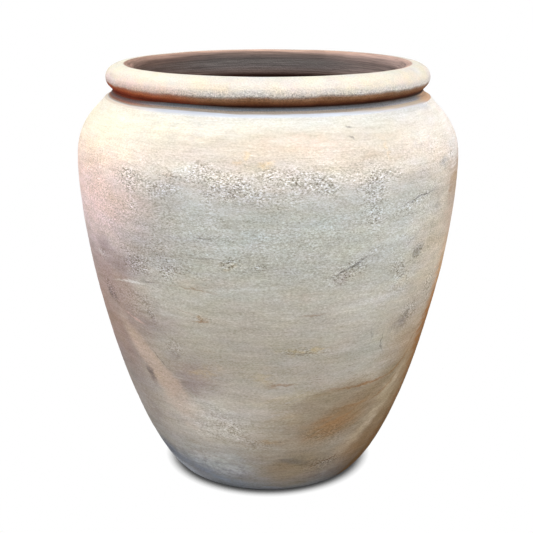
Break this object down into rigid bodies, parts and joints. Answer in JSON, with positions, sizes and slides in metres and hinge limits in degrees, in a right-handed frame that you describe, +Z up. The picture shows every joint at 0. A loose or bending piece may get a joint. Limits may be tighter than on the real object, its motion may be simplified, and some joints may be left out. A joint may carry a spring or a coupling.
{
  "type": "terracotta planter",
  "caption": "Tall round-bellied planter with a thick rolled rim over a stepped neck, a narrow rounded foot and a central drain hole, in limewashed fired clay.",
  "frame": {"origin": "centre of the foot, on the ground", "axes": "+Z up along the axis that the pot is turned about; X and Y are alike"},
  "size_m": [0.5436, 0.5436, 0.6],
  "materials": {
    "limewashed_clay": "matte",
    "stained_clay": "matte",
    "raw_clay": "matte"
  },
  "bodies": {
    "root": {"floor_slab": "stained_clay", "corner_coil": "raw_clay", "lower_wall": "limewashed_clay", "middle_wall": "limewashed_clay", "upper_wall": "limewashed_clay", "belly_wall": "limewashed_clay", "shoulder_wall": "limewashed_clay", "neck_ring": "stained_clay", "rim_roll": "limewashed_clay"}
  },
  "joints": []
}
